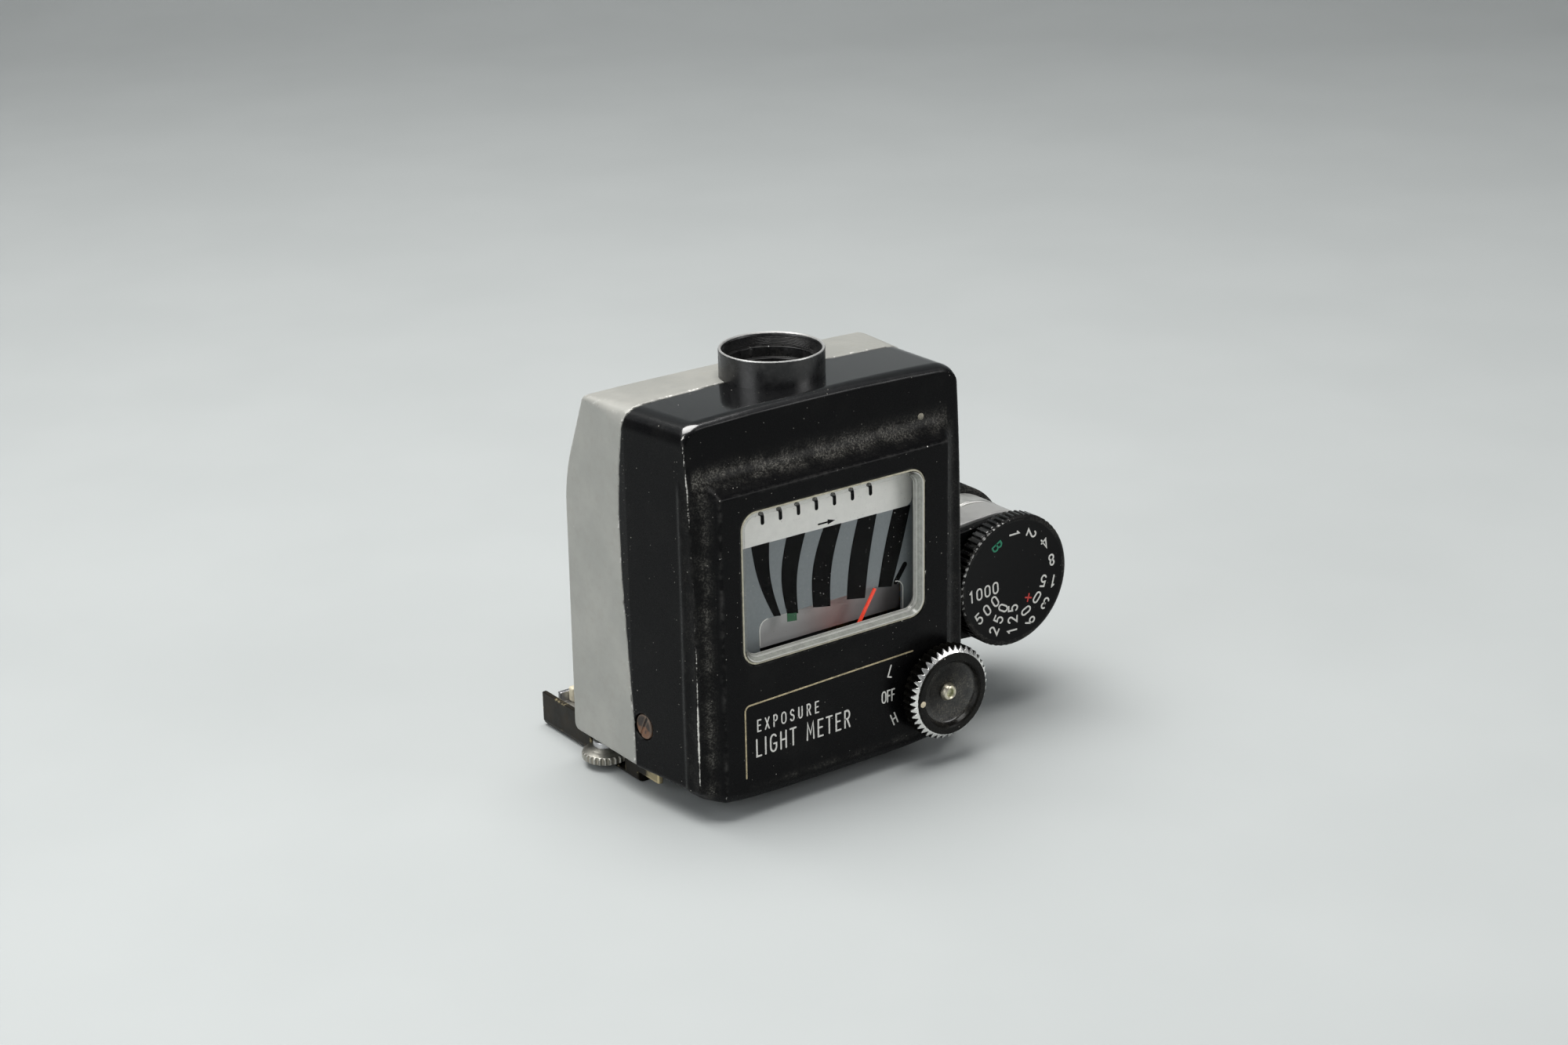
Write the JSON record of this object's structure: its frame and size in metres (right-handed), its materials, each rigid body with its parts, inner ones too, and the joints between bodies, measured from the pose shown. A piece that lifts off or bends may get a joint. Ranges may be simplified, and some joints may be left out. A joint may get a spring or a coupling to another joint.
{
  "type": "handheld light meter",
  "caption": "Clip-on exposure meter with a cell tube, needle window, range knob, geared shutter speed dial on a side arm, film speed ring and screw-clamped eyepiece bracket.",
  "frame": {"origin": "middle of the overall footprint, on the surface the bracket web stands on", "axes": "+X toward the speed dial, +Y toward the saddle underside, +Z toward the light cell"},
  "size_m": [0.0744, 0.05, 0.0639],
  "materials": {
    "black_paint": "semi-gloss black, worn to bright metal on the edges",
    "satin_shell": "satin grey plating",
    "satin_silver": "satin silver",
    "bright_aluminium": "bright machined",
    "black_plastic": "moulded black",
    "black_anodised": "black, ribbed",
    "clear_plastic": "clear moulding",
    "ivory_plastic": "aged ivory",
    "scale_print": "blue-grey enamel with black stripes",
    "needle_red": "red enamel",
    "steel": "plain",
    "nickel": "satin nickel",
    "brass": "machined",
    "copper": "copper winding",
    "magnet": "sintered magnet",
    "board": "phenolic sheet",
    "felt": "black felt",
    "cell_glass": "clear glass",
    "cell_ceramic": "sensitive face",
    "oxide_black": "blackened sheet, brass showing at the end",
    "screw_copper": "tarnished",
    "nylon": "cream",
    "insulator": "dark moulding"
  },
  "bodies": {
    "housing": {"top_cover": "black_paint", "body_shell": "satin_shell", "saddle_plate": "black_paint", "saddle_pads": "felt", "window_gasket": "ivory_plastic", "window_pane": "clear_plastic", "scale_plate": "scale_print", "plate_screws": "steel", "plate_posts": "brass", "baffle": "satin_silver", "movement_magnet": "magnet", "movement_core": "steel", "movement_bridge": "brass", "jewel_screws": "brass", "chassis_plate": "satin_silver", "chassis_screws": "steel", "side_screws": "screw_copper", "dial_arm": "satin_silver", "gear_studs": "steel", "resistor_track": "board", "switch_bushing": "nickel", "switch_stator": "board", "switch_contacts": "brass", "cell_tube": "black_paint", "cell_rings": "black_paint", "cell_window": "cell_glass", "cds_cell": "cell_ceramic", "cell_leads": "copper", "circuit_board": "board", "resistors": "insulator", "battery_cup": "insulator", "battery_contact": "brass", "battery": "nickel", "clip_bracket": "oxide_black", "bracket_spacers": "brass", "bracket_screws": "steel"},
    "dial": {"speed_dial": "black_anodised", "dial_shaft": "steel", "dial_gear": "brass", "coupling_collar": "bright_aluminium", "ring_washer": "steel", "shaft_screw": "steel"},
    "film_ring": {"film_ring": "black_anodised"},
    "idler": {"idler_gear": "brass"},
    "speed_wheel": {"speed_wheel": "brass", "wiper": "brass"},
    "knob": {"range_knob": "black_plastic", "knob_trim": "bright_aluminium", "knob_pin": "nickel", "knob_index": "ivory_plastic", "switch_shaft": "steel", "switch_rotor": "insulator"},
    "coil": {"moving_coil": "copper", "needle": "needle_red", "hairspring": "brass"},
    "clamp_screw": {"thumb_wheel": "nickel", "wheel_stem": "steel"},
    "jaw": {"clamp_jaw": "steel", "jaw_pad": "nylon"},
    "coin_cover": {"battery_cover": "nickel"}
  },
  "joints": [
    {"name": "speed_dial_turn", "type": "hinge", "parent": "housing", "child": "dial", "pos_m": [0.02645, -0.013, 0.02155], "axis": [0, 1, 0], "range_deg": [0, 291.5]},
    {"name": "film_speed_turn", "type": "hinge", "parent": "dial", "child": "film_ring", "pos_m": [0.02645, 0.001, 0.02155], "axis": [0, 1, 0], "range_deg": [-150, 150]},
    {"name": "idler_turn", "type": "hinge", "parent": "housing", "child": "idler", "pos_m": [0.01556, -0.009, 0.02308], "axis": [0, 1, 0], "range_deg": [-351, 1]},
    {"name": "speed_wheel_turn", "type": "hinge", "parent": "housing", "child": "speed_wheel", "pos_m": [0.00146, -0.009, 0.02821], "axis": [0, 1, 0], "range_deg": [-1, 176]},
    {"name": "range_knob_turn", "type": "hinge", "parent": "housing", "child": "knob", "pos_m": [0.0068, -0.021, 0.01135], "axis": [0, 1, 0], "range_deg": [-27, 27]},
    {"name": "needle_swing", "type": "hinge", "parent": "housing", "child": "coil", "pos_m": [-0.0113, -0.012, 0.0149], "axis": [0, 1, 0], "range_deg": [-62, 0], "stiffness_Nm_per_rad": 0.00002},
    {"name": "clamp_wheel_turn", "type": "hinge", "parent": "housing", "child": "clamp_screw", "pos_m": [-0.0336, 0.0073, 0.002], "axis": [0, 0, 1], "range_deg": [-361, 1]},
    {"name": "jaw_travel", "type": "slide", "parent": "housing", "child": "jaw", "axis": [0, 0, 1], "range_m": [-0.0005, 0]},
    {"name": "battery_cover_turn", "type": "hinge", "parent": "housing", "child": "coin_cover", "pos_m": [-0.0148, 0.001, 0.036], "axis": [0, 1, 0], "range_deg": [0, 60]}
  ],
  "couplings": [
    {"joint": "idler_turn", "follows": "speed_dial_turn", "ratio": -1.2},
    {"joint": "speed_wheel_turn", "follows": "speed_dial_turn", "ratio": 0.6},
    {"joint": "clamp_wheel_turn", "follows": "jaw_travel", "rad_per_m": 12566}
  ]
}
